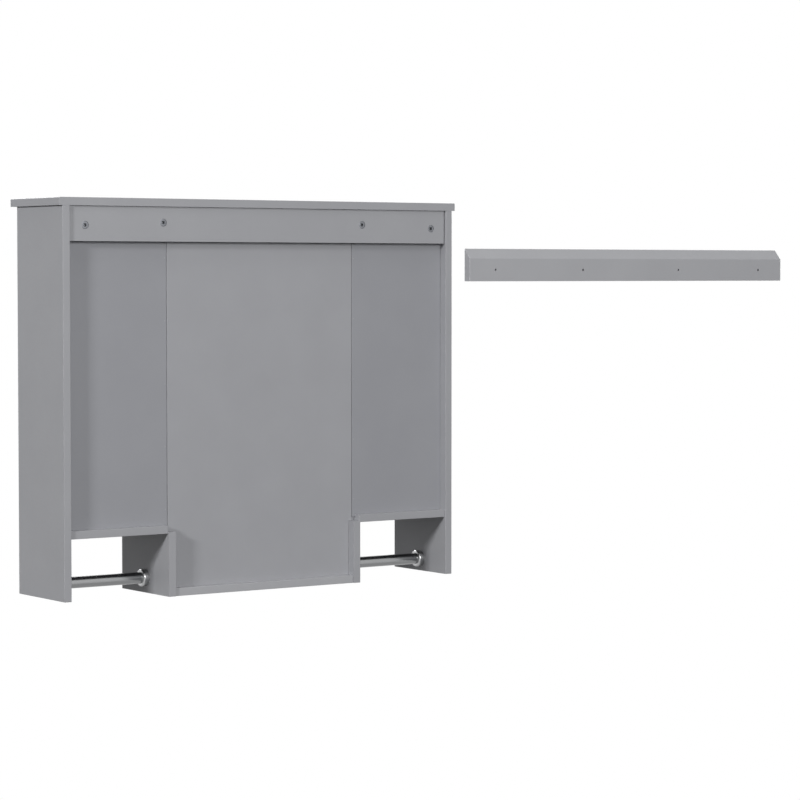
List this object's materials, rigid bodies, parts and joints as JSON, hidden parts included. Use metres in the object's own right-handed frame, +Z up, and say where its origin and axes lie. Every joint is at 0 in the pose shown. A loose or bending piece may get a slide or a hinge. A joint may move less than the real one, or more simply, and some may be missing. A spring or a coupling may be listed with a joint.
{
  "type": "medicine cabinet",
  "caption": "Wall-hung medicine cabinet with a mirror door between open shelf bays, towel bars below and a bevelled rail that hooks on a separate wall rail.",
  "frame": {"origin": "on the wall plane, behind the middle of the hanging rail's lower edge", "axes": "front faces -Y, the wall is on the +Y side, +X along the cabinet's width, +Z up"},
  "size_m": [1.757, 0.225, 0.749],
  "materials": {
    "painted_board": "fibreboard in grey satin paint",
    "painted_back": "thin fibreboard in grey satin paint",
    "cam_zinc": "die-cast zinc",
    "bolt_steel": "zinc-plated",
    "dowel_wood": "fluted beech",
    "pin_steel": "nickel-plated",
    "bar_chrome": "polished chrome plate",
    "pin_enamel": "grey enamel",
    "hinge_nickel": "satin nickel",
    "mirror": "silvered glass with a ground bevel",
    "catch_plastic": "moulded",
    "catch_magnet": "ferrite",
    "strike_steel": "zinc-plated"
  },
  "bodies": {
    "cabinet": {"top_panel": "painted_board", "side_left": "painted_board", "side_right": "painted_board", "divider_left": "painted_board", "divider_right": "painted_board", "bay_floor_left": "painted_board", "bay_floor_right": "painted_board", "centre_floor": "painted_board", "hanging_rail": "painted_board", "bay_shelf_left_lower": "painted_board", "bay_shelf_left_upper": "painted_board", "bay_shelf_right_lower": "painted_board", "bay_shelf_right_upper": "painted_board", "centre_shelf_lower": "painted_board", "centre_shelf_middle": "painted_board", "centre_shelf_upper": "painted_board", "bay_back_left": "painted_back", "bay_back_right": "painted_back", "centre_back": "painted_back", "rail_cam_locks": "cam_zinc", "top_cam_locks": "cam_zinc", "floor_cam_locks": "cam_zinc", "rail_cam_bolts": "bolt_steel", "top_cam_bolts": "bolt_steel", "floor_cam_bolts": "bolt_steel", "flange_screws": "bolt_steel", "flange_grub_screws": "bolt_steel", "catch_screws": "bolt_steel", "frame_leaf_screws": "bolt_steel", "panel_pins": "pin_enamel", "wood_dowels": "dowel_wood", "bay_shelf_pins": "pin_steel", "centre_shelf_pins": "pin_steel", "towel_bar_left": "bar_chrome", "towel_bar_right": "bar_chrome", "flange_left_outer": "bar_chrome", "flange_left_inner": "bar_chrome", "flange_right_outer": "bar_chrome", "flange_right_inner": "bar_chrome", "frame_leaf_upper": "hinge_nickel", "frame_leaf_lower": "hinge_nickel", "hinge_pin_upper": "hinge_nickel", "hinge_pin_lower": "hinge_nickel", "catch_case": "catch_plastic", "catch_magnet": "catch_magnet"},
    "door": {"door_panel": "painted_board", "mirror_glass": "mirror", "door_leaf_upper": "hinge_nickel", "door_leaf_lower": "hinge_nickel", "door_leaf_screws": "bolt_steel", "door_knob": "bar_chrome", "knob_screw": "bolt_steel", "strike_plate": "strike_steel", "strike_screws": "bolt_steel"},
    "wall rail": {"wall_rail": "painted_board"}
  },
  "joints": [
    {"name": "door_swing", "type": "hinge", "parent": "cabinet", "child": "door", "pos_m": [-0.2015, -0.1832, -0.2935], "axis": [0, 0, -1], "range_deg": [0, 180]},
    {"name": "wall_rail_slide", "type": "slide", "parent": "cabinet", "child": "wall rail", "axis": [1, 0, 0], "range_m": [0, 0.89]}
  ]
}
